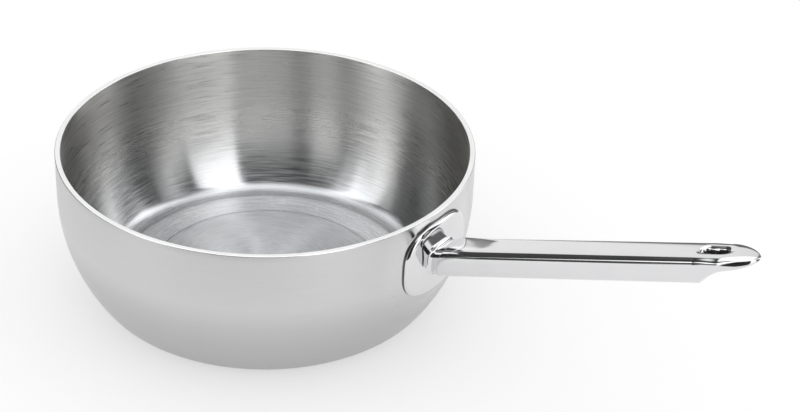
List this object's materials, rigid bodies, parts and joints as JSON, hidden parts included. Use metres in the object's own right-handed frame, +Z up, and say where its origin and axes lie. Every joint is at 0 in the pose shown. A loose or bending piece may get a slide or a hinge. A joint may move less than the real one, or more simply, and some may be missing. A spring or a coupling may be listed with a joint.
{
  "type": "saucier pan",
  "caption": "Deep, round-sided saucier pan of clad stainless steel with a straight, flat rim and a long, upswept, polished hollow handle on a welded oval foot, with a hanging eye at its tip.",
  "frame": {"origin": "on the bowl's axis, at the height of the face that the pan rests on", "axes": "+X along the handle's side, away from the bowl; +Z up, out of the mouth; +Y to the left as seen by someone who holds the handle and looks at the bowl from behind it"},
  "size_m": [0.4401, 0.2466, 0.1412],
  "materials": {
    "cooking_surface": "stainless steel, brushed round the wall, satin on the base",
    "satin_steel": "fine satin stainless steel",
    "polished_steel": "mirror-polished stainless steel",
    "aluminium_alloy": "bare, seen only as part of the rim",
    "pure_aluminium": "bare, seen only as part of the rim"
  },
  "bodies": {
    "root": {"inner_steel_ply": "cooking_surface", "upper_bond_ply": "pure_aluminium", "aluminium_core": "aluminium_alloy", "lower_bond_ply": "pure_aluminium", "outer_steel_ply": "satin_steel", "handle_foot": "polished_steel", "handle_body": "polished_steel"}
  },
  "joints": []
}
